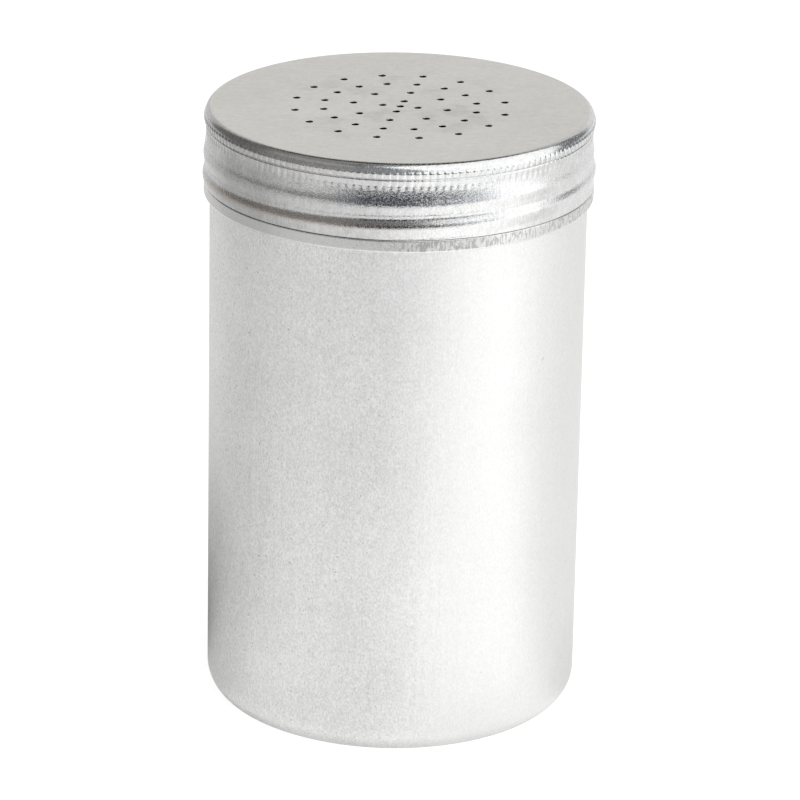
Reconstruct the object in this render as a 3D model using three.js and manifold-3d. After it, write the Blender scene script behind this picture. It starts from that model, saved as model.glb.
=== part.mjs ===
// A drawn aluminium shaker: an open can with a screw neck, and a perforated screw lid.
// Millimetres, +Z up. The origin is the centre of the base, on the surface that the can stands on.
import * as THREE from "three";
import { mergeVertices } from "three/addons/utils/BufferGeometryUtils.js";
import Module from "manifold-3d";

// The whole object.
const TOTAL_HEIGHT = 125.5;
const SHEET = 0.8; // thickness of the metal, the same in can and lid
const FACETS = 48; // flat sides round every turned surface

// The can.
const CAN_RADIUS = 38;
const BASE_CORNER = 5.8; // outer radius where the base turns up into the wall
const BASE_RING = 4.4; // width of the flat ring that the can stands on
const BASE_RECESS = 0.8; // height that the base panel is pressed up inside that ring
const BEAD_RADIUS = 39.2; // stop bead under the lid
const BEAD_HEIGHT = 2.3;
const BEND = 0.35; // radius of the bead's sharp bends
const NECK_RADIUS = 37.55; // neck between its threads
const NECK_THREAD = 0.5; // how far the neck's thread stands out
const RIM_GAP = 0.5; // from the can's rim to the underside of the lid

// The lid.
const LID_RADIUS = 39.12; // the band that the fingers grip
const LID_SKIRT_RADIUS = 39.05; // skirt below that band, between its threads
const LID_HEIGHT = 15.3;
const SHOULDER_WIDTH = 1.5; // the shoulder where the top turns down into the side: across
const SHOULDER_HEIGHT = 1.8; // and down
const TOP_DISH = 0.1; // how far the middle of the top is sunk
const GRIP_DEPTH = 5.9; // lower end of the grip band, below the lid's top
const LID_THREAD = 0.45; // how far the lid's thread stands out at the skirt's foot
const LID_GAP = 0.3; // from the lid's edge to the stop bead

// The rolled thread: one start, right-hand, the same helix in can and lid.
const THREAD_PITCH = 4.8;
const CREST_DEPTH = 9.35; // depth below the lid's top of the lid's crest on the -X side
const THREAD_STEP = 0.8; // spacing of the rings of points that carry the thread

// The holes: one in the middle, then rings of them.
const HOLE_RADIUS = 0.75;
const HOLE_SIDES = 8;
const HOLE_TURN = 2.8; // degrees that the whole pattern is turned about the axis
const HOLE_RINGS = [
  { radius: 0, count: 1, start: 0 },
  { radius: 3.6, count: 4, start: 75 },
  { radius: 9.6, count: 8, start: 30 },
  { radius: 15.5, count: 16, start: 7.5 },
  { radius: 21.3, count: 16, start: 7.5 },
];

const LID_FOOT = TOTAL_HEIGHT - LID_HEIGHT;
const BEAD_TOP = LID_FOOT - LID_GAP;
const BEAD_FOOT = BEAD_TOP - BEAD_HEIGHT;
const RIM_TOP = TOTAL_HEIGHT - SHEET - RIM_GAP;

const wasm = await Module();
wasm.setup();

const point = (radius, height) => new THREE.Vector2(radius, height);

// Points of an oval's arc in a profile, from one angle to another in degrees, ends included.
function oval(radius, height, width, rise, from, to, steps) {
  return Array.from({ length: steps + 1 }, (_, i) => {
    const angle = THREE.MathUtils.degToRad(from + ((to - from) * i) / steps);
    return point(radius + width * Math.cos(angle), height + rise * Math.sin(angle));
  });
}

// The same for a circle's arc.
function arc(radius, height, bend, from, to, steps) {
  return oval(radius, height, bend, bend, from, to, steps);
}

// A straight run up or down the profile, in even steps no longer than the thread needs.
function run(radius, from, to) {
  const steps = Math.ceil(Math.abs(to - from) / THREAD_STEP);
  return Array.from({ length: steps + 1 }, (_, i) => point(radius, from + ((to - from) * i) / steps));
}

// Turns a profile of (radius, height) points about the vertical axis.
function turned(profile) {
  return new THREE.LatheGeometry(profile, FACETS).rotateX(Math.PI / 2);
}

// The thread's height at a place, from 0 in its valleys to 1 on its crests.
function threadWave(height, angle) {
  const turns = (height - (TOTAL_HEIGHT - CREST_DEPTH)) / THREAD_PITCH;
  return 0.5 + 0.5 * Math.cos(2 * Math.PI * turns - (angle - Math.PI));
}

// Rolls the thread into the upright walls of a turned sheet, by moving both its faces out together.
function rollThread(geometry, depthAt) {
  const places = geometry.getAttribute("position");
  for (let i = 0; i < places.count; i++) {
    const [x, y, z] = [places.getX(i), places.getY(i), places.getZ(i)];
    const radius = Math.hypot(x, y);
    const depth = depthAt(z, radius);
    if (depth === 0) continue;
    const grow = (radius + depth * threadWave(z, Math.atan2(y, x))) / radius;
    places.setXY(i, x * grow, y * grow);
  }
  return geometry;
}

// A geometry as a manifold-3d solid: its position alone, with the shared vertices merged.
function solidOf(geometry) {
  const bare = geometry.clone();
  bare.deleteAttribute("normal");
  bare.deleteAttribute("uv");
  const merged = mergeVertices(bare, 1e-4);
  return new wasm.Manifold(
    new wasm.Mesh({
      numProp: 3,
      vertProperties: merged.getAttribute("position").array,
      triVerts: new Uint32Array(merged.index.array),
    }),
  );
}

function geometryOf(solid) {
  const mesh = solid.getMesh();
  const geometry = new THREE.BufferGeometry();
  geometry.setAttribute("position", new THREE.BufferAttribute(mesh.vertProperties, 3));
  geometry.setIndex(new THREE.BufferAttribute(mesh.triVerts, 1));
  geometry.computeVertexNormals();
  return geometry;
}

// The can: recessed base, round corner, plain wall, stop bead, threaded neck and open rim, then
// the same way back down its inside.
function canGeometry() {
  const ringOuter = CAN_RADIUS - BASE_CORNER;
  const ringInner = ringOuter - BASE_RING;
  const inside = CAN_RADIUS - SHEET;
  const slope = BASE_RECESS; // the step up to the recessed panel leans at 45 degrees
  const outer = [
    point(0, BASE_RECESS),
    point(ringInner - slope, BASE_RECESS),
    point(ringInner, 0),
    ...arc(ringOuter, BASE_CORNER, BASE_CORNER, -90, 0, 6),
    point(CAN_RADIUS, BEAD_FOOT),
    ...arc(BEAD_RADIUS - BEND, BEAD_FOOT + BEND, BEND, -90, 0, 2),
    ...arc(BEAD_RADIUS - BEND, BEAD_TOP - BEND, BEND, 0, 90, 2),
    ...run(NECK_RADIUS, BEAD_TOP, RIM_TOP),
  ];
  const inner = [
    ...run(NECK_RADIUS - SHEET, RIM_TOP, BEAD_TOP - SHEET),
    point(BEAD_RADIUS - SHEET, BEAD_TOP - SHEET),
    point(BEAD_RADIUS - SHEET, BEAD_FOOT + SHEET),
    point(inside, BEAD_FOOT + SHEET),
    ...arc(ringOuter, BASE_CORNER, BASE_CORNER - SHEET, 0, -90, 6),
    point(ringInner, SHEET),
    point(ringInner - slope, BASE_RECESS + SHEET),
    point(0, BASE_RECESS + SHEET),
  ];
  const lead = 1.6; // plain neck at each end, over which the thread dies away
  const depthAt = (z, radius) => {
    if (z <= BEAD_TOP || Math.abs(radius - NECK_RADIUS) > 2 * SHEET) return 0;
    const up = THREE.MathUtils.smoothstep(z, BEAD_TOP, BEAD_TOP + lead);
    const down = 1 - THREE.MathUtils.smoothstep(z, RIM_TOP - lead, RIM_TOP);
    return NECK_THREAD * up * down;
  };
  return rollThread(turned([...outer, ...inner]), depthAt);
}

// The lid's shell before its holes: slightly sunk top, round shoulder, grip band and threaded skirt.
function lidShellGeometry() {
  const panel = LID_RADIUS - SHOULDER_WIDTH;
  const top = TOTAL_HEIGHT;
  const gripFoot = top - GRIP_DEPTH;
  const shoulderFoot = top - SHOULDER_HEIGHT;
  const sunk = [0, 1, 2, 3].map((ring) => {
    const share = ring / 4; // of the way from the axis to the panel's edge
    return point(panel * share, top - TOP_DISH * (1 - share ** 2));
  });
  const inner = [
    ...sunk.map((place) => point(place.x, place.y - SHEET)),
    ...oval(panel, shoulderFoot, SHOULDER_WIDTH - SHEET, SHOULDER_HEIGHT - SHEET, 90, 0, 3),
    point(LID_RADIUS - SHEET, gripFoot),
    ...run(LID_SKIRT_RADIUS - SHEET, gripFoot - SHEET, LID_FOOT),
  ];
  const outer = [
    ...run(LID_SKIRT_RADIUS, LID_FOOT, gripFoot - SHEET),
    point(LID_RADIUS, gripFoot),
    ...oval(panel, shoulderFoot, SHOULDER_WIDTH, SHOULDER_HEIGHT, 0, 90, 5),
    ...sunk.reverse(),
  ];
  const full = 12.2; // depth below the top at which the thread reaches its full height
  const depthAt = (z, radius) => {
    if (radius < panel) return 0;
    return LID_THREAD * THREE.MathUtils.smoothstep(top - z, GRIP_DEPTH, full);
  };
  return rollThread(turned([...inner, ...outer]), depthAt);
}

// Upright pins where the holes go, longer than the sheet is thick.
function holePins() {
  const pins = [];
  for (const ring of HOLE_RINGS) {
    for (let i = 0; i < ring.count; i++) {
      const angle = THREE.MathUtils.degToRad(ring.start + HOLE_TURN + (360 * i) / ring.count);
      const pin = new THREE.CylinderGeometry(HOLE_RADIUS, HOLE_RADIUS, 4 * SHEET, HOLE_SIDES);
      pin.rotateX(Math.PI / 2);
      pin.translate(ring.radius * Math.cos(angle), ring.radius * Math.sin(angle), TOTAL_HEIGHT - SHEET / 2);
      pins.push(pin);
    }
  }
  return pins;
}

function lidGeometry() {
  const drill = (shell, pin) => shell.subtract(solidOf(pin));
  return geometryOf(holePins().reduce(drill, solidOf(lidShellGeometry())));
}

function aluminium(color, roughness) {
  return new THREE.MeshStandardMaterial({ color, roughness, metalness: 1 });
}

const can = new THREE.Mesh(canGeometry(), aluminium(0xcbcbca, 0.5));
can.name = "can_body";

const lid = new THREE.Mesh(lidGeometry(), aluminium(0xd0cec8, 0.3));
lid.name = "shaker_lid";

const shaker = new THREE.Group();
shaker.add(can, lid);

export default shaker;
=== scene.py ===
# %% [markdown]
# # An aluminium shaker, from frame to finish
# The object is a catering shaker: a drawn aluminium can with a screw neck, and a screw lid whose flat top
# is punched with holes. Both are single sheets of bare metal, so there is nothing to hide behind: the shape
# is a turned profile with a rolled thread and a milled grip band, and the looks are all in how bare metal
# mirrors a bright studio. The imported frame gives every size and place, so the first step is to load it.

# %% Load the frame
import math
import bpy
from mathutils import Matrix, Vector


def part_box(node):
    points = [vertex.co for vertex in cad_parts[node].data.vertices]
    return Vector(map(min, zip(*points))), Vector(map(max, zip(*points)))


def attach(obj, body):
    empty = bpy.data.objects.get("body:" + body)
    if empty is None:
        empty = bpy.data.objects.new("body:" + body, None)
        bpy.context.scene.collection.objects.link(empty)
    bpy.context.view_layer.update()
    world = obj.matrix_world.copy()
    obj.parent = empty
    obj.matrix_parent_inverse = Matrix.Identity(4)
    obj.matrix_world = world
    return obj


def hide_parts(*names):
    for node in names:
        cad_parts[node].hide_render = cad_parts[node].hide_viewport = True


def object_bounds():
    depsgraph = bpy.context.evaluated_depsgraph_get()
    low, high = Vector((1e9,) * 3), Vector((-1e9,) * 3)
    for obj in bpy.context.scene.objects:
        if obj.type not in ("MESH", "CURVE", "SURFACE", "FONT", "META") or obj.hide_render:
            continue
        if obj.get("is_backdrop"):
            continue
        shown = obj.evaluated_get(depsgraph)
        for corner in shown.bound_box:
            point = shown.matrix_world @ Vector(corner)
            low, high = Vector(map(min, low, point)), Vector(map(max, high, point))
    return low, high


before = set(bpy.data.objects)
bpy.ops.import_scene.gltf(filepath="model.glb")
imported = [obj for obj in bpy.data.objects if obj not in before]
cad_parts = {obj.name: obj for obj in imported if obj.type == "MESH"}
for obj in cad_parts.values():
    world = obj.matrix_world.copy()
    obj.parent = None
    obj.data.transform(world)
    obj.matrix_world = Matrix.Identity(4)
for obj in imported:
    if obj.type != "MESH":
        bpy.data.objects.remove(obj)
cad_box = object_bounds()
can_low, can_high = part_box("can_body")
lid_low, lid_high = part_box("shaker_lid")
MM = 0.001
TOP = lid_high.z
LID_FOOT = lid_low.z
RIM_TOP = can_high.z
print("frame: whole height %.1f mm, lid %.1f mm" % (TOP / MM, (TOP - LID_FOOT) / MM))

# %% [markdown]
# ## The camera
# It comes first, because every later choice is judged through it. A long lens a metre away keeps the can's
# sides almost parallel, and raising it by some twenty degrees shows the whole perforated top and the side
# of the lid at once. It is rolled by one degree, like a camera on a tripod that is not quite level.

# %% Place the camera
LENS = 217.7  # millimetres, on a sensor 36 mm wide
CAMERA_DISTANCE = 0.9884
CAMERA_ELEVATION = math.radians(20.49)
CAMERA_ROLL = 0.0190  # radians
AIM = Vector((0.00106, 0, 0.5 * TOP))


def place_camera():
    camera = bpy.data.objects.new("camera", bpy.data.cameras.new("camera"))
    bpy.context.scene.collection.objects.link(camera)
    camera.data.lens = LENS
    camera.data.sensor_width = 36
    camera.data.clip_start = 0.05
    away = Vector((0, -math.cos(CAMERA_ELEVATION), math.sin(CAMERA_ELEVATION)))
    camera.location = Vector((0, 0, AIM.z)) + CAMERA_DISTANCE * away
    back = (camera.location - AIM).normalized()
    right = Vector((0, 0, 1)).cross(back).normalized()
    up = back.cross(right)
    rolled_right = math.cos(CAMERA_ROLL) * right + math.sin(CAMERA_ROLL) * up
    rolled_up = math.cos(CAMERA_ROLL) * up - math.sin(CAMERA_ROLL) * right
    camera.rotation_euler = Matrix((rolled_right, rolled_up, back)).transposed().to_euler()
    bpy.context.scene.camera = camera


place_camera()
print("camera: %.0f mm lens, %.2f m away" % (LENS, CAMERA_DISTANCE))

# %% [markdown]
# ## Writing node trees as sums
# Shapes and finishes below are both node trees, and both are mostly arithmetic. Wiring Math nodes by hand
# hides the formula, so a small class wraps an output socket and lets + - * / and ** add the Math nodes. Any
# other node comes from one method that takes its type, its settings and what goes into its sockets.


# %% Wires and trees
class Wire:
    """An output socket. Arithmetic on it adds Math nodes to its tree."""

    def __init__(self, graph, socket):
        self.graph = graph
        self.socket = socket

    def pick(self, name):
        """Another output of the same node."""
        return Wire(self.graph, self.socket.node.outputs[name])

    def __add__(self, other):
        return self.graph.maths("ADD", self, other)

    def __radd__(self, other):
        return self.graph.maths("ADD", other, self)

    def __sub__(self, other):
        return self.graph.maths("SUBTRACT", self, other)

    def __rsub__(self, other):
        return self.graph.maths("SUBTRACT", other, self)

    def __mul__(self, other):
        return self.graph.maths("MULTIPLY", self, other)

    def __rmul__(self, other):
        return self.graph.maths("MULTIPLY", other, self)

    def __truediv__(self, other):
        return self.graph.maths("DIVIDE", self, other)

    def __pow__(self, other):
        return self.graph.maths("POWER", self, other)


class Graph:
    """Adds nodes to one tree."""

    def __init__(self, tree):
        self.tree = tree

    def add(self, kind, settings=None, sockets=None, out=0):
        """A node of a type, with its settings first, then the values or wires of its sockets."""
        node = self.tree.nodes.new(kind)
        for name, value in (settings or {}).items():
            setattr(node, name, value)
        for name, value in (sockets or {}).items():
            self.feed(node.inputs[name], value)
        return Wire(self, node.outputs[out]) if len(node.outputs) else node

    def feed(self, socket, value):
        if isinstance(value, Wire):
            self.tree.links.new(value.socket, socket)
        elif isinstance(value, list):
            for wire in value:
                self.feed(socket, wire)
        else:
            socket.default_value = value

    def maths(self, operation, *values):
        return self.add("ShaderNodeMath", {"operation": operation}, dict(enumerate(values)))

    def clamp(self, value):
        settings = {"operation": "ADD", "use_clamp": True}
        return self.add("ShaderNodeMath", settings, {0: value, 1: 0.0})

    def smooth(self, value, low, high):
        """0 below low, 1 above high, and an S-shaped rise between them."""
        sockets = {"Value": value, "From Min": low, "From Max": high}
        return self.add("ShaderNodeMapRange", {"interpolation_type": "SMOOTHSTEP"}, sockets)

    def window(self, value, start, rise, fall, end):
        """1 between rise and fall, and 0 outside start and end."""
        return self.smooth(value, start, rise) * (1 - self.smooth(value, fall, end))

    def noise(self, place, scale, detail=2.0, roughness=0.5):
        sockets = {"Vector": place, "Scale": scale, "Detail": detail, "Roughness": roughness}
        return self.add("ShaderNodeTexNoise", None, sockets)

    def stretch(self, place, x, y, z):
        """Multiplies a place by a factor along each axis, which squeezes a pattern on it."""
        return self.add("ShaderNodeVectorMath", {"operation": "MULTIPLY"}, {0: place, 1: (x, y, z)})

    def mix(self, factor, a, b):
        """Goes from colour a to colour b."""
        sockets = {0: factor, 6: a, 7: b}
        return self.add("ShaderNodeMix", {"data_type": "RGBA"}, sockets, out=2)


# %% [markdown]
# ## Turning a sheet
# Spinning a can or a lid on a lathe is one rule: take a profile and repeat it round the axis. A Screw
# modifier does that, but the thread and the grip band then have to be added by hand to thousands of points.
# Here a Geometry Nodes tree lays a grid, reads one profile point for each of its rows, and bends it round.
# Because the place of every point is a formula, thread, teeth and wrinkles are just more terms in it. A
# profile point holds three numbers: its radius, how much of the fine relief it takes, and its height.

# %% The turning rule
COINCIDENT = 2e-6  # points closer than this, in metres, are the same point


def tree_inputs(tree, inputs):
    """Gives a Geometry Nodes tree its named inputs, and returns the wires that come from them."""
    kinds = {int: "NodeSocketInt", float: "NodeSocketFloat", bpy.types.Object: "NodeSocketObject"}
    kinds[bpy.types.Material] = "NodeSocketMaterial"
    tree.interface.new_socket("Geometry", in_out="INPUT", socket_type="NodeSocketGeometry")
    tree.interface.new_socket("Geometry", in_out="OUTPUT", socket_type="NodeSocketGeometry")
    for name, value in inputs.items():
        tree.interface.new_socket(name, in_out="INPUT", socket_type=kinds[type(value)])
    graph = Graph(tree)
    first = graph.add("NodeGroupInput", out="Geometry")
    return graph, {name: first.pick(name) for name in ["Geometry", *inputs]}


def grow(name, points, build, inputs):
    """Runs a Geometry Nodes tree on an object that holds the points, and returns the plain mesh it makes."""
    tree = bpy.data.node_groups.new(name, "GeometryNodeTree")
    graph, wires = tree_inputs(tree, inputs)
    graph.add("NodeGroupOutput", None, {"Geometry": build(graph, wires)})
    holder = bpy.data.objects.new(name, bpy.data.meshes.new(name))
    holder.data.from_pydata(points, [], [])
    bpy.context.scene.collection.objects.link(holder)
    modifier = holder.modifiers.new(name, "NODES")
    modifier.node_group = tree
    for item in tree.interface.items_tree:
        if item.in_out == "INPUT" and item.name in inputs:
            modifier[item.identifier] = inputs[item.name]
    evaluated = holder.evaluated_get(bpy.context.evaluated_depsgraph_get())
    mesh = bpy.data.meshes.new_from_object(evaluated)
    bpy.data.objects.remove(holder)
    mesh.name = name
    print("%s: %d triangles" % (name, sum(len(face.vertices) - 2 for face in mesh.polygons)))
    return mesh


def turn(graph, profile, columns, angle_at, relief_at):
    """Bends a grid round the axis: one row for each profile point, one column for each step of angle."""
    rows = graph.add("GeometryNodeAttributeDomainSize", None, {"Geometry": profile}, out="Point Count")
    grid_size = {"Vertices X": columns + 1, "Vertices Y": rows}
    grid = graph.add("GeometryNodeMeshGrid", None, grid_size, out="Mesh")
    index = graph.add("GeometryNodeInputIndex")
    column = graph.maths("FLOOR", index / rows)
    reading = {"Geometry": profile, "Index": index - column * rows}
    reading["Value"] = graph.add("GeometryNodeInputPosition")
    point = graph.add("GeometryNodeSampleIndex", {"data_type": "FLOAT_VECTOR"}, reading)
    parts = graph.add("ShaderNodeSeparateXYZ", None, {0: point})
    height = parts.pick("Z")
    angle = angle_at(column)
    radius = parts + relief_at(angle, height, parts.pick("Y"))
    place = {
        "X": radius * graph.maths("COSINE", angle),
        "Y": radius * graph.maths("SINE", angle),
        "Z": height,
    }
    bent = {"Geometry": grid, "Position": graph.add("ShaderNodeCombineXYZ", None, place)}
    return graph.add("GeometryNodeSetPosition", None, bent)


def sewn(graph, parts, material):
    """Joins the parts, closes their seams and gives them their metal."""
    joined = graph.add("GeometryNodeJoinGeometry", None, {"Geometry": parts})
    solid = graph.add("GeometryNodeRealizeInstances", None, {"Geometry": joined})
    closed = {"Geometry": solid, "Distance": COINCIDENT}
    closed = graph.add("GeometryNodeMergeByDistance", None, closed)
    shaded = graph.add("GeometryNodeSetShadeSmooth", None, {"Geometry": closed, "Shade Smooth": True})
    return graph.add("GeometryNodeSetMaterial", None, {"Geometry": shaded, "Material": material})


# %% [markdown]
# ## Profiles
# A maker draws a profile from straight runs and round corners. Two small helpers do the same: one gives an
# evenly stepped run, the other a round corner. Sharp corners are never left bare, because even a tight bend
# in sheet metal has a radius, and that radius is what catches the light.


# %% Runs and corners
def run(start, end, step, relief=1.0):
    """Points from one (radius, height) to another, no further apart than the step."""
    length = math.dist(start, end)
    count = max(1, math.ceil(length / step))
    share = [i / count for i in range(count + 1)]
    return [(start[0] + (end[0] - start[0]) * t, relief, start[1] + (end[1] - start[1]) * t) for t in share]


def corner(centre, bend, start, end, steps, relief=1.0):
    """Points on a round corner about a centre, between two angles in degrees."""
    points = []
    for i in range(steps + 1):
        angle = math.radians(start + (end - start) * i / steps)
        points.append((centre[0] + bend * math.cos(angle), relief, centre[1] + bend * math.sin(angle)))
    return points


# %% [markdown]
# ## The thread
# Can and lid share one helix, which rises one pitch a turn. It shapes both pieces, and the lid's finish
# paints shade along it, on the ledge over each crest, so it is worked out before either the finishes or the
# shapes.

# %% The thread that can and lid share
THREAD_PITCH = 4.8 * MM
CREST_DEPTH = 9.35 * MM  # below the top, of the lid's crest on the -X side


def thread_phase(graph, height, angle):
    """A whole number of turns on the thread's crests."""
    climb = (height - (TOP - CREST_DEPTH)) / THREAD_PITCH
    return 2 * math.pi * climb - (angle - math.pi)


print("thread: one start, %.1f mm a turn" % (THREAD_PITCH / MM))

# %% [markdown]
# ## Bare aluminium
# Drawn aluminium is a mirror that the rolling and drawing have scratched dull. Its colour hardly changes,
# so what tells one part from another is how rough it is: the wall that slid through the die is matt and
# grainy, the bead and thread that ran between hard rollers are burnished, and the lid's flat top keeps the
# satin of the rolled sheet. One function makes the metal from a colour, a roughness and a height map, and
# each piece works those three out for its own zones.

# %% The metal
SHEET = 0.8 * MM


def metal(name, build):
    """A metal whose colour, roughness and bump height come from build(graph, place)."""
    material = bpy.data.materials.new(name)
    material.use_nodes = True
    tree = material.node_tree
    tree.nodes.clear()
    graph = Graph(tree)
    place = graph.add("ShaderNodeTexCoord", out="Object")
    colour, roughness, height = build(graph, place)
    bump = graph.add("ShaderNodeBump", None, {"Strength": 1.0, "Distance": MM, "Height": height})
    finish = {"Base Color": colour, "Metallic": 1.0, "Roughness": roughness, "Normal": bump}
    shader = graph.add("ShaderNodeBsdfPrincipled", None, finish)
    graph.add("ShaderNodeOutputMaterial", None, {"Surface": shader})
    return material


# %% [markdown]
# ## The can's finish
# The wall keeps a faint upright grain from the die and a fine mottle, with specks and scuffs on top of them.
# The specks are more numerous towards -X, and the grain and mottle are evener towards +X. The bead is
# burnished, and its colour is darkened as painted shade, broken up by the grain and lighter towards +X, the
# lamp's side. Its rollers left short upright skid marks on the +X side. Every mark is a noise pattern,
# squeezed along the axis and cut off at a level. A noise in space runs round the can without a seam, where a
# flat pattern would have to be wrapped and joined.

# %% The can's metal
NECK_RADIUS = 37.55 * MM
BEAD_FOOT = LID_FOOT - 2.6 * MM
BEAD_TOP = LID_FOOT - 0.05 * MM
PALE_METAL = (0.86, 0.86, 0.85, 1)
DULL_METAL = (0.60, 0.60, 0.59, 1)
DARK_SPECK = (0.30, 0.29, 0.28, 1)
# the bead's colour, darkened as painted shade
BEAD_PAINTED_SHADE = (0.44, 0.44, 0.435, 1)


def can_finish(graph, place):
    parts = graph.add("ShaderNodeSeparateXYZ", None, {0: place})
    height = parts.pick("Z")
    radius = (parts ** 2 + parts.pick("Y") ** 2) ** 0.5
    grain = graph.noise(graph.stretch(place, 1, 1, 0.6), 2900, 3.0, 0.6) - 0.5
    mottle = graph.noise(place, 750, 4.0, 0.62) - 0.5
    lines = graph.noise(graph.stretch(place, 1, 1, 0.04), 1300, 3.0, 0.6) - 0.5
    clouds = graph.noise(place, 42, 4.0, 0.6) - 0.5
    worn = graph.smooth(graph.noise(graph.stretch(place, 1, 1, 0.35), 70, 3.0, 0.6), 0.35, 0.65)
    rolled = graph.smooth(height, BEAD_FOOT - 0.2 * MM, BEAD_FOOT + 0.1 * MM)
    inner = 1 - graph.smooth(radius, NECK_RADIUS - SHEET, NECK_RADIUS - 0.5 * SHEET)
    left = 1 - graph.smooth(parts, -20 * MM, 20 * MM)
    specks = graph.smooth(graph.noise(place, 1500, 1.0) + 0.14 * clouds + 0.05 * left, 0.75, 0.80)
    specks = specks * (0.3 + 0.7 * left)
    scuffs = graph.noise(graph.stretch(place, 1, 1, 1.6), 260, 3.0, 0.7) + 0.5 * mottle
    scuffs = graph.smooth(scuffs, 0.74, 0.80) * (1 - rolled)
    skids = graph.smooth(graph.noise(graph.stretch(place, 1, 1, 0.3), 2300, 2.0, 0.6), 0.48, 0.6)
    banded = graph.window(height, BEAD_FOOT + 0.25 * MM, BEAD_FOOT + 0.5 * MM, BEAD_TOP - 0.2 * MM, BEAD_TOP)
    skids = skids * banded * graph.smooth(parts, -6 * MM, 4 * MM)
    blemish = 2.4 * grain + 0.7 * mottle + 0.6 * lines * worn + 0.9 * clouds
    # the grain and mottle vary less towards +X and more towards -X
    evener_towards_plus_x = 0.65 * graph.smooth(parts, -5 * MM, 16 * MM)
    tone = graph.clamp(0.55 + blemish * (1 - evener_towards_plus_x))
    colour = graph.mix(tone, DULL_METAL, PALE_METAL)
    # painted shade: the bead is darkened, broken up by the grain, and less so towards +X, the lamp's side
    bead_shade_mask = banded * (0.75 + grain) * (1 - 0.6 * graph.smooth(parts, 12 * MM, 22 * MM))
    colour = graph.mix(graph.clamp(bead_shade_mask), colour, BEAD_PAINTED_SHADE)
    colour = graph.mix(graph.clamp(specks * 0.5 + scuffs * 0.35 + skids * 0.5), colour, DARK_SPECK)
    roughness = 0.44 + 0.10 * grain + 0.10 * mottle - 0.18 * rolled + 0.08 * inner + 0.2 * skids
    bump = 0.026 * grain + 0.012 * mottle + 0.010 * lines * worn - 0.02 * specks - 0.03 * skids
    return colour, roughness, bump


can_metal = metal("can_aluminium", can_finish)
print("can's finish: %d nodes" % len(can_metal.node_tree.nodes))

# %% [markdown]
# ## The lid's finish
# How far a point lies below the dished top tells its zone. The top is satin, and dulled in the middle by
# hands. The walls of the holes are almost black, because no light gets in. The rolled side is bright, with
# painted light making it paler towards +X, the lamp's side, and painted shade darker towards -X. Its milled
# teeth are smoother than the rest, and towards -X a brown painted shade lies on the ledge over each crest of
# the thread.

# %% The lid's metal
WARM_METAL = (0.79, 0.77, 0.73, 1)
WARM_DULL = (0.58, 0.56, 0.52, 1)
BRIGHT_SIDE = (0.75, 0.75, 0.745, 1)
DULL_SIDE = (0.40, 0.40, 0.395, 1)
# brown painted shade for the ledges of the lid's thread
THREAD_PAINTED_SHADE = (0.42, 0.36, 0.31, 1)
DARK_HOLE = (0.03, 0.03, 0.03, 1)
PANEL_RADIUS = 37.4 * MM
TOP_DISH = 0.1 * MM  # how far the middle of the top is sunk


def lid_finish(graph, place):
    parts = graph.add("ShaderNodeSeparateXYZ", None, {0: place})
    radius = (parts ** 2 + parts.pick("Y") ** 2) ** 0.5
    sink = parts.pick("Z") - TOP + TOP_DISH * (1 - (radius / PANEL_RADIUS) ** 2)
    grain = graph.noise(place, 2600, 3.0, 0.6) - 0.5
    streaks = graph.noise(graph.stretch(place, 1, 1, 0.12), 2300, 3.0, 0.6) - 0.5
    brushed = graph.noise(graph.stretch(place, 0.08, 1, 1), 1500, 3.0, 0.6) - 0.5
    mottle = graph.noise(place, 800, 4.0, 0.6) - 0.5
    clouds = graph.noise(place, 60, 4.0, 0.6) - 0.5
    top = graph.smooth(sink, -0.10 * MM, -0.04 * MM)
    punched = graph.window(sink, -SHEET - 0.1 * MM, -SHEET + 0.1 * MM, -0.12 * MM, -0.04 * MM)
    punched = punched * (1 - graph.smooth(radius, 22.5 * MM, 23.5 * MM))
    handled = graph.smooth(graph.noise(place, 130, 3.0, 0.6), 0.46, 0.68)
    handled = handled * (1 - graph.smooth(radius, 12 * MM, 32 * MM))
    dulled = graph.smooth(graph.noise(place, 3000, 2.0, 0.6), 0.50, 0.62)
    phase = thread_phase(graph, parts.pick("Z"), graph.maths("ARCTAN2", parts.pick("Y"), parts))
    # painted shade, brown: along the ledge over each crest of the thread, towards -X
    ledge = graph.smooth(0 - graph.maths("COSINE", phase + 2.1), 0.2, 0.9)
    groove_painted_shade = ledge * graph.window(sink, -15.3 * MM, -14.6 * MM, -9.2 * MM, -8.6 * MM)
    groove_painted_shade = groove_painted_shade * (1 - graph.smooth(parts, 0.0, 14 * MM))
    # painted light and shade: the side's colour is paler towards +X, the lamp's side, and darker towards -X
    painted_light_plus_x = 0.62 * graph.smooth(parts, -28 * MM, 4 * MM)
    side_tone = graph.clamp(0.13 + painted_light_plus_x + 0.7 * grain + 0.6 * mottle + 0.9 * clouds + 0.5 * streaks)
    side_colour = graph.mix(side_tone, DULL_SIDE, BRIGHT_SIDE)
    side_colour = graph.mix(graph.clamp(groove_painted_shade * (0.55 + 1.2 * grain)), side_colour, THREAD_PAINTED_SHADE)
    top_tone = graph.clamp(0.64 + grain + 0.8 * mottle + 1.1 * clouds + 0.5 * brushed - 0.5 * handled)
    top_colour = graph.mix(top_tone, WARM_DULL, WARM_METAL)
    colour = graph.mix(top, side_colour, top_colour)
    colour = graph.mix(punched, colour, DARK_HOLE)
    side_roughness = 0.15 + 0.22 * dulled + 0.10 * grain
    roughness = side_roughness * (1 - top) + 0.34 * top + 0.10 * clouds + 0.3 * punched
    milled = graph.smooth(sink, -4.6 * MM, -4.2 * MM)
    side_bump = (0.045 * grain + 0.03 * streaks + 0.02 * mottle) * (1 - 0.6 * milled)
    top_bump = 0.008 * grain + 0.006 * brushed + 0.008 * mottle
    bump = side_bump * (1 - top) + top_bump * top
    return colour, roughness, bump


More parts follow.
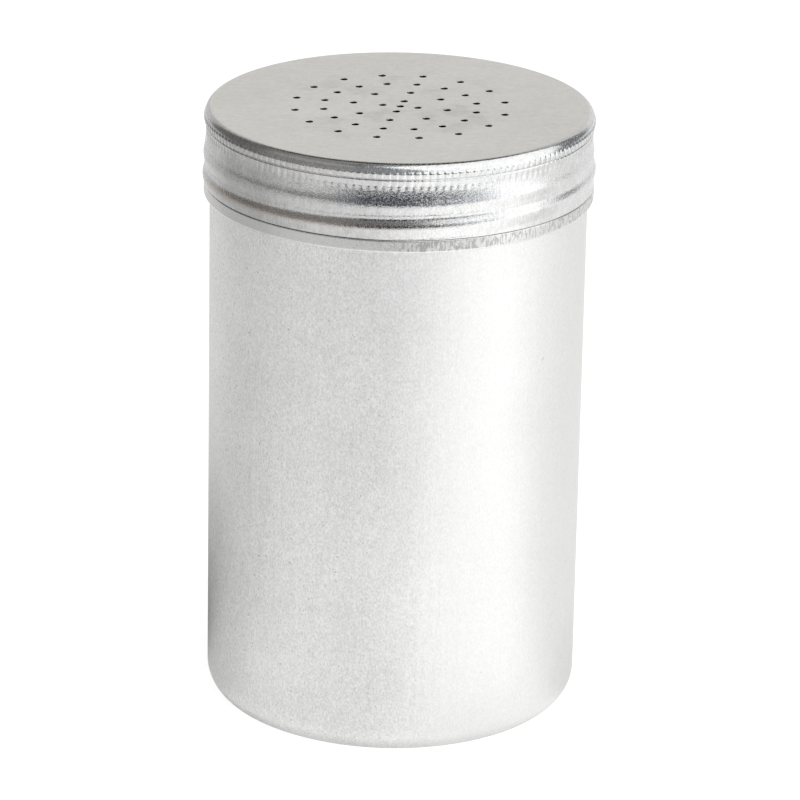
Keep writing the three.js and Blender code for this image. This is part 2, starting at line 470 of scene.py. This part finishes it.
lid_metal = metal("lid_aluminium", lid_finish)
print("lid's finish: %d nodes" % len(lid_metal.node_tree.nodes))

# %% [markdown]
# ## The can
# One sheet: a recessed base, a round corner, the plain wall, a stop bead for the lid, a threaded neck and
# an open rim, then the inner face all the way back down. The thread is a single helix, rolled into both
# faces at once. The rollers that make the bead leave a fringe of fine upright wrinkles in it.

# %% The can's profile and mesh
CAN_COLUMNS = 660
CAN_RADIUS = 38 * MM
NECK_THREAD = 0.5 * MM
BEAD_RADIUS = 39.2 * MM
BASE_CORNER = 5.8 * MM
BASE_RING = 4.4 * MM
BASE_RECESS = 0.8 * MM
WALL_STEP = 4 * MM
THREAD_STEP = 0.55 * MM
WRINKLES_PER_METRE = 950
WRINKLE_DEPTH = 0.07 * MM
WALL_WAVE = 0.05 * MM  # how far the plain wall strays from a true cylinder


def can_profile():
    ring = CAN_RADIUS - BASE_CORNER
    heel = ring - BASE_RING
    step = BASE_RECESS
    bend = 0.35 * MM
    inside = CAN_RADIUS - SHEET
    neck_inside = NECK_RADIUS - SHEET
    outer = [(0, 0, step), (0.5 * heel, 0, step)]
    outer += run((heel - 2.2 * step, step), (heel - 1.7 * step, step), 1, 0)
    outer += run((heel - 1.2 * step, 0.75 * step), (heel - 0.8 * step, 0.25 * step), 1, 0)
    outer += run((heel - 0.3 * step, 0), (ring - 0.3 * MM, 0), 2 * MM, 0)
    outer += corner((ring, BASE_CORNER), BASE_CORNER, -90, 0, 14, 0)
    outer += run((CAN_RADIUS, BASE_CORNER + MM), (CAN_RADIUS, BEAD_FOOT - 0.5 * MM), WALL_STEP, 0)
    outer += corner((CAN_RADIUS + 0.2 * MM, BEAD_FOOT - 0.2 * MM), 0.2 * MM, 180, 90, 3, 0)
    outer += corner((BEAD_RADIUS - bend, BEAD_FOOT + bend), bend, -90, 0, 4, 1)
    outer += run((BEAD_RADIUS, BEAD_FOOT + 2 * bend), (BEAD_RADIUS, BEAD_TOP - bend), 0.3 * MM, 1)
    edge = 0.15 * MM
    outer += corner((BEAD_RADIUS - edge, BEAD_TOP - edge), edge, 0, 90, 3, 1)
    outer += run((NECK_RADIUS + 0.3 * MM, BEAD_TOP), (NECK_RADIUS, BEAD_TOP + 0.3 * MM), 0.3 * MM, 0)
    outer += run((NECK_RADIUS, BEAD_TOP + 0.8 * MM), (NECK_RADIUS, RIM_TOP - 0.3 * MM), THREAD_STEP, 0)
    lip = 0.2 * MM
    outer += corner((NECK_RADIUS - lip, RIM_TOP - lip), lip, 30, 90, 3, 0)
    inner = corner((neck_inside + lip, RIM_TOP - lip), lip, 90, 150, 3, 0)
    inner += run((neck_inside, RIM_TOP - 0.3 * MM), (neck_inside, BEAD_TOP), 2 * THREAD_STEP, 0)
    inner += run((neck_inside + 0.1 * MM, BEAD_TOP - SHEET), (BEAD_RADIUS - SHEET, BEAD_TOP - SHEET), 1, 0)
    inner += run((BEAD_RADIUS - SHEET, BEAD_FOOT + SHEET), (inside, BEAD_FOOT + 0.9 * SHEET), 1, 0)
    inner += run((inside, BEAD_FOOT), (inside, BASE_CORNER + MM), 3 * WALL_STEP, 0)
    inner += corner((ring, BASE_CORNER), BASE_CORNER - SHEET, 0, -90, 5, 0)
    inner += run((heel - 0.3 * step, SHEET), (heel - 0.8 * step, 0.25 * step + SHEET), 1, 0)
    inner += run((heel - 1.2 * step, 0.75 * step + SHEET), (heel - 1.7 * step, step + SHEET), 1, 0)
    inner += [(heel - 2.2 * step, 0, step + SHEET), (0.5 * heel, 0, step + SHEET), (0, 0, step + SHEET)]
    return outer + inner


def build_can(graph, wires):
    columns = wires["Columns"]

    def angle_at(column):
        return column * (2 * math.pi) / columns

    def relief_at(angle, height, relief):
        lead = 1.6 * MM
        rise = graph.window(height, BEAD_TOP, BEAD_TOP + lead, RIM_TOP - lead, RIM_TOP)
        wave = 0.5 + 0.5 * graph.maths("COSINE", thread_phase(graph, height, angle))
        thread = NECK_THREAD * rise * wave
        spot = {"X": graph.maths("COSINE", angle), "Y": graph.maths("SINE", angle), "Z": height * 6}
        circuit = graph.add("ShaderNodeCombineXYZ", None, spot)
        fringe = graph.noise(circuit, WRINKLES_PER_METRE * CAN_RADIUS, 1.0)
        patch = graph.smooth(graph.noise(circuit, 1.3, 0.0), 0.42, 0.60)
        wrinkles = relief * (0.25 + 0.75 * patch) * WRINKLE_DEPTH * (fringe - 0.75)
        plain = graph.window(height, 4 * MM, 20 * MM, BEAD_FOOT - 20 * MM, BEAD_FOOT - MM)
        waves = WALL_WAVE * plain * (graph.noise(circuit, 2.2, 1.0) - 0.6)
        return thread + wrinkles + waves

    sheet = turn(graph, wires["Geometry"], columns, angle_at, relief_at)
    return sewn(graph, [sheet], wires["Metal"])


can_mesh = grow("can", can_profile(), build_can, {"Columns": CAN_COLUMNS, "Metal": can_metal})

# %% [markdown]
# ## The lid
# One more sheet, in two parts that meet at the edge of the flat top. The side is turned like the can, but
# its columns are spaced for the milled grip band: five to a tooth, closer together at the bottom of each
# groove, so that 168 rounded ribs need few faces. The band has a row of short teeth on the shoulder, a fine
# line, and a row of longer ones that run out in points where the sheet is drawn in to a waist above the
# thread.

# %% The side of the lid
TEETH = 168
COLUMNS_PER_TOOTH = 5
RIDGE_STEP = 0.22 * MM
GROOVE_CROWDING = 0.084  # how far columns move towards the grooves, in tooth widths
LID_RADIUS = 39.0 * MM
BUMP_HEIGHT = 0.17 * MM  # of the upper row of teeth
TIP_HEIGHT = 0.17 * MM  # of the lower row, down to its pointed tips
FAINT = 0.5  # how nearly the grooves at the top of the lower row are filled
WAIST = 0.38 * MM  # how far the sheet is drawn in under the lower row of teeth
SHOULDER = 2.0 * MM  # radius of the long bend from the side up to the edge of the top
EDGE_BEND = 1.2 * MM  # radius of the tight bend at that edge
GRIP_FOOT = 5.9 * MM  # depth below the top
LID_THREAD = 0.45 * MM
THREAD_FULL = 12.2 * MM
HEM_RIDGE = 0.07 * MM


def lid_angle(graph, column):
    """The angle of a column: even steps, crowded towards the grooves between teeth."""
    step = 2 * math.pi / TEETH
    share = column / COLUMNS_PER_TOOTH
    return step * (share - GROOVE_CROWDING * graph.maths("SINE", 2 * math.pi * share))


def lid_profile():
    inside = LID_RADIUS - SHEET
    turn_in = math.sqrt(0.5)  # sine and cosine of 45 degrees, where the two bends of the shoulder meet
    drop = EDGE_BEND * (1 - turn_in) + SHOULDER * turn_in
    bend = (LID_RADIUS - SHOULDER, TOP - drop)
    edge = (bend[0] + (SHOULDER - EDGE_BEND) * turn_in, TOP - EDGE_BEND)
    hollow = SHOULDER - SHEET
    climb = math.degrees(math.asin((drop - SHEET) / hollow))
    lip = 0.12 * MM
    points = [(PANEL_RADIUS, 0, TOP - SHEET)]
    points += corner(bend, hollow, climb, 0, 4, 0)
    points += run((inside, TOP - 3 * MM), (inside, LID_FOOT + 2 * lip), 3 * THREAD_STEP, 0)
    points += corner((inside + lip, LID_FOOT + lip), lip, 180, 270, 3, 0)
    points += corner((LID_RADIUS - lip, LID_FOOT + lip), lip, -90, 0, 3, 1)
    points += run((LID_RADIUS, LID_FOOT + 2 * lip), (LID_RADIUS, TOP - 6.3 * MM), RIDGE_STEP)
    points += run((LID_RADIUS, TOP - 6.1 * MM), (LID_RADIUS, TOP - 3.4 * MM), 0.19 * MM)
    points += run((LID_RADIUS, TOP - 3.25 * MM), (LID_RADIUS, TOP - 2.95 * MM), 0.15 * MM)
    points += run((LID_RADIUS, TOP - 2.8 * MM), (LID_RADIUS, TOP - drop - 0.1 * MM), 0.25 * MM)
    points += corner(bend, SHOULDER, 0, 45, 8)
    points += corner(edge, EDGE_BEND, 51, 90, 6)
    points += [(PANEL_RADIUS, 0, TOP)]
    return points


def lid_relief(graph, angle, height, relief):
    depth = TOP - height
    phase = thread_phase(graph, height, angle)
    grown = graph.smooth(depth, GRIP_FOOT, THREAD_FULL)
    wave = 0.5 + 0.5 * graph.maths("COSINE", phase)
    thread = grown * (LID_THREAD * wave + HEM_RIDGE * (1 - wave) ** 28)
    upper = graph.window(depth, 1.4 * MM, 1.9 * MM, 2.8 * MM, 3.05 * MM)
    lower = graph.window(depth, 3.15 * MM, 3.35 * MM, 5.4 * MM, 6.1 * MM)
    drawn_in = WAIST * graph.smooth(depth, 2.1 * MM, 4.2 * MM)
    waist = drawn_in * graph.clamp((8.1 * MM - depth) / (3.8 * MM))
    tips = graph.smooth(depth, 4.05 * MM, 4.35 * MM)
    rise = BUMP_HEIGHT * upper + TIP_HEIGHT * lower
    rise = graph.maths("MAXIMUM", rise - (drawn_in - waist), 0.0)
    rib = graph.maths("ABSOLUTE", graph.maths("SINE", angle * (TEETH / 2)))
    narrow = 0.05 + 0.57 * tips + 0.2 * graph.smooth(depth, 4.5 * MM, 5.8 * MM)
    teeth = graph.smooth(rib - narrow, 0.0, 0.35)
    teeth = teeth + (1 - teeth) * FAINT * graph.smooth(depth, 3.15 * MM, 3.3 * MM) * (1 - tips)
    line = 0.04 * MM * graph.window(depth, 2.95 * MM, 3.1 * MM, 3.1 * MM, 3.25 * MM)
    return thread + relief * (rise * teeth - waist - line)


# %% [markdown]
# ## The perforated top
# A turned grid can't hold holes. So the circles of the holes, and the edge of the top, go to a Fill Curve
# node, ring by ring, and a small turned collar lines every hole, rounded over where the punch pushed in.
# The last circle has exactly the points of the side's last row, so that the two parts close on each other.

# %% The perforated top
HOLE_RADIUS = 0.75 * MM
HOLE_SIDES = 20
HOLE_ROLL = 0.08 * MM  # how far the punch rounded the edge over
HOLE_MARGIN = 0.3 * MM  # flat ring left round each collar
HOLE_TURN = 2.8  # degrees
HOLE_RINGS = [(0, 1, 0), (3.6, 4, 75), (9.6, 8, 30), (15.5, 16, 7.5), (21.3, 16, 7.5)]
PANEL_CIRCLES = [1.8, 6.6, 12.5, 18.4, 25, 31]  # millimetres; they divide the top clear of the holes
CIRCLE_SIDES = 120


def ring_of_points(graph, radius, count, start):
    """The centres of one ring of holes; the radius is in millimetres and the start in degrees."""
    index = graph.add("GeometryNodeInputIndex")
    angle = index * (2 * math.pi / count) + math.radians(start + HOLE_TURN)
    place = {"X": radius * MM * graph.maths("COSINE", angle), "Y": radius * MM * graph.maths("SINE", angle)}
    spots = {"Count": count, "Position": graph.add("ShaderNodeCombineXYZ", None, place)}
    return graph.add("GeometryNodePoints", None, spots)


def collar_profile():
    edge = HOLE_RADIUS + HOLE_ROLL + HOLE_MARGIN
    points = [(edge, 0, 0)]
    points += corner((HOLE_RADIUS + HOLE_ROLL, -HOLE_ROLL), HOLE_ROLL, 90, 180, 3, 0)
    points += run((HOLE_RADIUS, 0.08 * MM - SHEET), (HOLE_RADIUS + 0.08 * MM, -SHEET), 1, 0)
    return points + [(edge, 0, -SHEET)]


def build_collar(graph, wires):
    def angle_at(column):
        return column * (2 * math.pi / HOLE_SIDES)

    def relief_at(angle, height, relief):
        return relief * 0

    ring = turn(graph, wires["Geometry"], wires["Sides"], angle_at, relief_at)
    return graph.add("GeometryNodeMergeByDistance", None, {"Geometry": ring, "Distance": COINCIDENT})


def edge_circle(graph, columns):
    """The outline of the flat top, point for point the last ring of the side."""
    index = graph.add("GeometryNodeInputIndex")
    angle = lid_angle(graph, index)
    place = {"X": PANEL_RADIUS * graph.maths("COSINE", angle), "Y": PANEL_RADIUS * graph.maths("SINE", angle)}
    spots = {"Count": columns, "Position": graph.add("ShaderNodeCombineXYZ", None, place)}
    spots = graph.add("GeometryNodePoints", None, spots)
    line = graph.add("GeometryNodePointsToCurves", None, {"Points": spots})
    return graph.add("GeometryNodeSetSplineCyclic", None, {"Geometry": line, "Cyclic": True})


def fill_between(graph, outlines):
    joined = graph.add("GeometryNodeJoinGeometry", None, {"Geometry": outlines})
    return graph.add("GeometryNodeFillCurve", {"mode": "TRIANGLES"}, {"Curve": joined})


def circle(graph, sides, radius):
    return graph.add("GeometryNodeCurvePrimitiveCircle", None, {"Resolution": sides, "Radius": radius})


def perforated_panel(graph, columns, sides, hole_rings):
    """The flat top, ring by ring, each with its own holes left open."""
    rim = circle(graph, sides, HOLE_RADIUS + HOLE_ROLL + HOLE_MARGIN)
    edges = [circle(graph, CIRCLE_SIDES, radius * MM) for radius in PANEL_CIRCLES]
    edges.append(edge_circle(graph, columns))
    zones = []
    for i, edge in enumerate(edges):
        outlines = [edge] + edges[max(0, i - 1):i]
        if i < len(hole_rings):
            rims = graph.add("GeometryNodeInstanceOnPoints", None, {"Points": hole_rings[i], "Instance": rim})
            outlines.append(graph.add("GeometryNodeRealizeInstances", None, {"Geometry": rims}))
        zones.append(fill_between(graph, outlines))
    return graph.add("GeometryNodeJoinGeometry", None, {"Geometry": zones})


def sunk(graph, flat):
    """Lifts the flat top to its height, and sinks its middle into a shallow dish."""
    place = graph.add("ShaderNodeSeparateXYZ", None, {0: graph.add("GeometryNodeInputPosition")})
    share = (place ** 2 + place.pick("Y") ** 2) / PANEL_RADIUS ** 2
    lift = graph.add("ShaderNodeCombineXYZ", None, {"Z": TOP - TOP_DISH * (1 - share)})
    return graph.add("GeometryNodeSetPosition", None, {"Geometry": flat, "Offset": lift})


def build_lid(graph, wires):
    columns = wires["Columns"]

    def angle_at(column):
        return lid_angle(graph, column)

    def relief_at(angle, height, relief):
        return lid_relief(graph, angle, height, relief)

    side = turn(graph, wires["Geometry"], columns, angle_at, relief_at)
    hole_rings = [ring_of_points(graph, *ring) for ring in HOLE_RINGS]
    above = perforated_panel(graph, columns, wires["Sides"], hole_rings)
    below = graph.add("GeometryNodeTransform", None, {"Geometry": above, "Translation": (0, 0, -SHEET)})
    below = graph.add("GeometryNodeFlipFaces", None, {"Mesh": below})
    collar = graph.add("GeometryNodeObjectInfo", None, {"Object": wires["Collar"]}, out="Geometry")
    places = graph.add("GeometryNodeJoinGeometry", None, {"Geometry": hole_rings})
    collars = graph.add("GeometryNodeInstanceOnPoints", None, {"Points": places, "Instance": collar})
    collars = graph.add("GeometryNodeRealizeInstances", None, {"Geometry": collars})
    top = graph.add("GeometryNodeJoinGeometry", None, {"Geometry": [above, below, collars]})
    return sewn(graph, [side, sunk(graph, top)], wires["Metal"])


def loose_object(name, mesh):
    thing = bpy.data.objects.new(name, mesh)
    bpy.context.scene.collection.objects.link(thing)
    return thing


collar = loose_object("collar", grow("collar", collar_profile(), build_collar, {"Sides": HOLE_SIDES}))
lid_inputs = {
    "Columns": TEETH * COLUMNS_PER_TOOTH,
    "Sides": HOLE_SIDES,
    "Collar": collar,
    "Metal": lid_metal,
}
lid_mesh = grow("lid", lid_profile(), build_lid, lid_inputs)
bpy.data.objects.remove(collar)
print("holes:", sum(count for radius, count, start in HOLE_RINGS))

# %% [markdown]
# ## Putting the pieces on the frame
# Each piece is a plain mesh at the origin that stands for one node of the frame and moves with its body.


# %% The two pieces
def fit_piece(name, mesh, body, node):
    piece = loose_object(name, mesh)
    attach(piece, body)
    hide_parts(node)
    loose = [edge for edge in piece.data.edges if edge.is_loose]
    print("%s: %d loose edges" % (name, len(loose)))


fit_piece("drawn_can", can_mesh, "can", "can_body")
fit_piece("screw_lid", lid_mesh, "lid", "shaker_lid")

# %% [markdown]
# ## Floor and light
# Bare metal shows its surroundings, so lighting it means building them: a pale table, a dim room with a
# white backdrop, one big soft lamp and one dark card. All of them are described by their direction from the
# shaker.


# %% Where things are round the shaker
def compass(graph, towards):
    """The azimuth of a direction, in degrees: 0 is the camera's side, 90 its right and -90 its left."""
    parts = graph.add("ShaderNodeSeparateXYZ", None, {0: towards})
    return graph.maths("ARCTAN2", parts, 0 - parts.pick("Y")) * (180 / math.pi)


def glow(graph, light):
    """A neutral colour of a given radiance."""
    return graph.add("ShaderNodeCombineXYZ", None, {"X": light, "Y": light, "Z": light})


# %% [markdown]
# ## The table
# It is the metal's largest light. Each side of the wall mirrors the part of the table on that side, so the
# table glows by direction, most of all in front to the right, under the lamp. It is darker where the shaker
# stands in its own light and in the gap under the round corner of the base. The camera itself sees one even
# white, as on a cleared background, so what the metal mirrors can be tuned without greying the picture. No
# real table does both. The shadow to the left ends at a hard edge straight behind the shaker, and that edge
# is mirrored low on the back of the can.

# %% The pale table
TABLE_BEHIND = 0.62  # the radiance of the table itself, by direction from the shaker
TABLE_LEFT = 0.46
TABLE_FRONT = 0.68
TABLE_LIT = 0.97  # in front to the right, under the big lamp
CAST_SHADOW = 0.92  # how much the shaker darkens the table behind it to the left, close by
FOOT_SHADOW = 0.2  # and to the right
CONTACT_SHADOW = 0.5  # right at its foot, where the corner of the base curves under
TABLE_SEEN = 0.80  # for the camera alone, which is exposed to show it white


def table_tone(graph):
    """The table's radiance, and how much of it the shadows round the shaker leave."""
    place = graph.add("ShaderNodeTexCoord", out="Object")
    azimuth = compass(graph, place)
    distance = graph.add("ShaderNodeVectorMath", {"operation": "LENGTH"}, {0: place}, out="Value")
    left = graph.window(azimuth, -135, -110, -85, -60)  # here and below, in degrees
    front = graph.window(azimuth, -85, -60, 70, 90)
    lit = graph.window(azimuth, -5, 25, 65, 85)
    light = TABLE_BEHIND + (TABLE_LEFT - TABLE_BEHIND) * left + (TABLE_FRONT - TABLE_BEHIND) * front
    light = light + (TABLE_LIT - TABLE_FRONT) * lit
    cast = CAST_SHADOW * (1 - graph.smooth(azimuth, -124, -94)) * (1 - graph.smooth(distance, 0.05, 0.19))
    foot = FOOT_SHADOW * graph.smooth(azimuth, -10, 30) * (1 - graph.smooth(distance, 0.045, 0.085))
    contact = CONTACT_SHADOW * (1 - 0.65 * graph.smooth(azimuth, -75, -25))
    contact = contact * (1 - graph.smooth(distance, 0.0365, 0.0395))
    return light, (1 - cast) * (1 - foot) * (1 - contact)


def pale_table():
    sides = 96
    reach = 3.0
    angles = [2 * math.pi * i / sides for i in range(sides)]
    ring = [(reach * math.cos(angle), reach * math.sin(angle), 0) for angle in angles]
    mesh = bpy.data.meshes.new("table")
    mesh.from_pydata(ring, [], [list(range(sides))])
    material = bpy.data.materials.new("table_top")
    material.use_nodes = True
    material.node_tree.nodes.clear()
    graph = Graph(material.node_tree)
    seen = graph.add("ShaderNodeLightPath", out="Is Camera Ray")
    light, shade = table_tone(graph)
    shade = shade * (1 - seen) + seen
    finish = {"Base Color": glow(graph, 0.6 * shade), "Roughness": 1.0, "Specular IOR Level": 0.0}
    finish["Emission Color"] = glow(graph, (light * (1 - seen) + TABLE_SEEN * seen) * shade)
    finish["Emission Strength"] = 1.0
    shader = graph.add("ShaderNodeBsdfPrincipled", None, finish)
    graph.add("ShaderNodeOutputMaterial", None, {"Surface": shader})
    mesh.materials.append(material)
    loose_object("table", mesh)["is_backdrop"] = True


pale_table()
print("table: glows %.2f on the left to %.2f under the lamp" % (TABLE_LEFT, TABLE_LIT))

# %% [markdown]
# ## The room
# The metal mirrors softly, so walls, backdrop and ceiling are only patches of grey in the world's shader,
# told apart by azimuth and elevation. The backdrop is white, the wall to the left warm and grey, the one in
# front a little blue, and a dark gap parts the backdrop from the ceiling.

# %% The dim room
BACKDROP = 0.92  # radiances: the white backdrop behind the shaker, low down
BACKDROP_TOP = 0.76  # and further up
LEFT_WALL = 0.34
LEFT_WALL_TOP = 0.50
FRONT_WALL = 0.38
FRONT_WALL_TOP = 0.28
RIGHT_SIDE = 0.22
CEILING = 0.23
LEFT_CEILING = 0.25  # how much brighter the ceiling is over the left-hand wall
DARK_GAP = 0.05  # between the backdrop and the ceiling


def dim_room():
    """The world's shader, as patches of light by direction; the camera sees plain white."""
    world = bpy.data.worlds.new("room")
    bpy.context.scene.world = world
    world.use_nodes = True
    world.node_tree.nodes.clear()
    graph = Graph(world.node_tree)
    towards = graph.add("ShaderNodeTexCoord", out="Generated")
    azimuth = compass(graph, towards)
    height = graph.add("ShaderNodeSeparateXYZ", None, {0: towards}).pick("Z")
    elevation = graph.maths("ARCSINE", height) * (180 / math.pi)
    upper = graph.smooth(elevation, 15, 28)
    behind = graph.smooth(graph.maths("ABSOLUTE", azimuth), 134, 146)
    left = graph.window(azimuth, -96, -84, -31, -24)
    front = graph.window(azimuth, -31, -24, 4, 12)
    back_wall = BACKDROP + (BACKDROP_TOP - BACKDROP) * upper
    left_wall = LEFT_WALL + (LEFT_WALL_TOP - LEFT_WALL) * upper
    front_wall = FRONT_WALL + (FRONT_WALL_TOP - FRONT_WALL) * upper
    walls = back_wall * behind + left_wall * left + front_wall * front
    walls = walls + RIGHT_SIDE * (1 - graph.clamp(behind + left + front))
    high = graph.smooth(elevation, 42, 48) * (1 - front)
    above = DARK_GAP + (0.5 * CEILING - DARK_GAP) * (1 - behind)
    above = above + LEFT_CEILING * graph.window(azimuth, -135, -110, -52, -26)
    light = walls * (1 - high) + above * high
    ceiling = graph.smooth(elevation, 76, 84)
    light = light * (1 - ceiling) + CEILING * ceiling
    seen = graph.add("ShaderNodeLightPath", out="Is Camera Ray")
    tint = graph.mix(graph.smooth(azimuth, -60, 0), (1.0, 0.97, 0.94, 1), (0.90, 0.95, 1.0, 1))
    tint = graph.mix(graph.clamp(behind + seen), tint, (1, 1, 1, 1))
    strength = light * (1 - seen) + seen
    shine = graph.add("ShaderNodeBackground", None, {"Color": tint, "Strength": strength})
    graph.add("ShaderNodeOutputWorld", None, {"Surface": shine})


dim_room()
print("room: backdrop %.2f, ceiling %.2f" % (BACKDROP, CEILING))

# %% [markdown]
# ## One lamp and one card
# The big soft lamp, high on the right, puts the long pale highlight on the wall. The dark card stands on
# the table in front, out of the camera's sight, and draws the dark lines in the shoulder, the thread and
# under the grip band: without something dark to mirror, polished metal looks like white plaster.


# %% The lamp and the card
def placed_and_aimed(azimuth, elevation, distance):
    """Where to put a thing at a direction and distance from the shaker, and its turn to face the shaker."""
    a, e = math.radians(azimuth), math.radians(elevation)
    away = Vector((math.sin(a) * math.cos(e), -math.cos(a) * math.cos(e), math.sin(e)))
    return Vector((0, 0, TOP / 2)) + distance * away, away.to_track_quat("Z", "Y").to_euler()


def soft_box(name, azimuth, elevation, distance, size, watts):
    """A rectangular lamp aimed at the shaker."""
    lamp = bpy.data.objects.new(name, bpy.data.lights.new(name, "AREA"))
    bpy.context.scene.collection.objects.link(lamp)
    lamp.data.shape = "RECTANGLE"
    lamp.data.size, lamp.data.size_y = size
    lamp.data.energy = watts
    lamp.location, lamp.rotation_euler = placed_and_aimed(azimuth, elevation, distance)
    lamp.visible_camera = False


def shaded_card(name, left, right, back, height):
    """A dark card with pale ends standing on the table, hidden from the camera, that the metal mirrors."""
    corners = [(left, back, 0), (right, back, 0), (right, back, height), (left, back, height)]
    mesh = bpy.data.meshes.new(name)
    mesh.from_pydata(corners, [], [[0, 1, 2, 3]])
    material = bpy.data.materials.new(name)
    material.use_nodes = True
    material.node_tree.nodes.clear()
    graph = Graph(material.node_tree)
    across = graph.add("ShaderNodeSeparateXYZ", None, {0: graph.add("ShaderNodeTexCoord", out="Object")})
    dark = graph.window(across, left, left + 0.2, 0.06, right)
    paint = graph.mix(dark, (0.52, 0.55, 0.60, 1), (0.02, 0.03, 0.05, 1))
    finish = {"Base Color": paint, "Roughness": 1.0}
    shader = graph.add("ShaderNodeBsdfPrincipled", None, finish)
    graph.add("ShaderNodeOutputMaterial", None, {"Surface": shader})
    mesh.materials.append(material)
    card = loose_object(name, mesh)
    card.visible_camera = False
    card.visible_shadow = False
    card.visible_diffuse = False
    card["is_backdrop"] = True


soft_box("key", azimuth=60, elevation=36, distance=1.0, size=(1.85, 1.7), watts=13.2)
shaded_card("front_card", left=-0.42, right=0.95, back=-0.62, height=0.21)
bpy.context.scene.view_settings.view_transform = "Standard"

# %% [markdown]
# ## Sizes, for the record
# The heights of the frame's own solids and of the finished model are printed side by side, so that the
# looks can be seen to stay inside the real size.

# %% The two sizes
boxes = {"cad": cad_box, "visual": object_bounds()}
print("height: cad %.2f mm, visual %.2f mm" % tuple((box[1][2] - box[0][2]) / MM for box in boxes.values()))
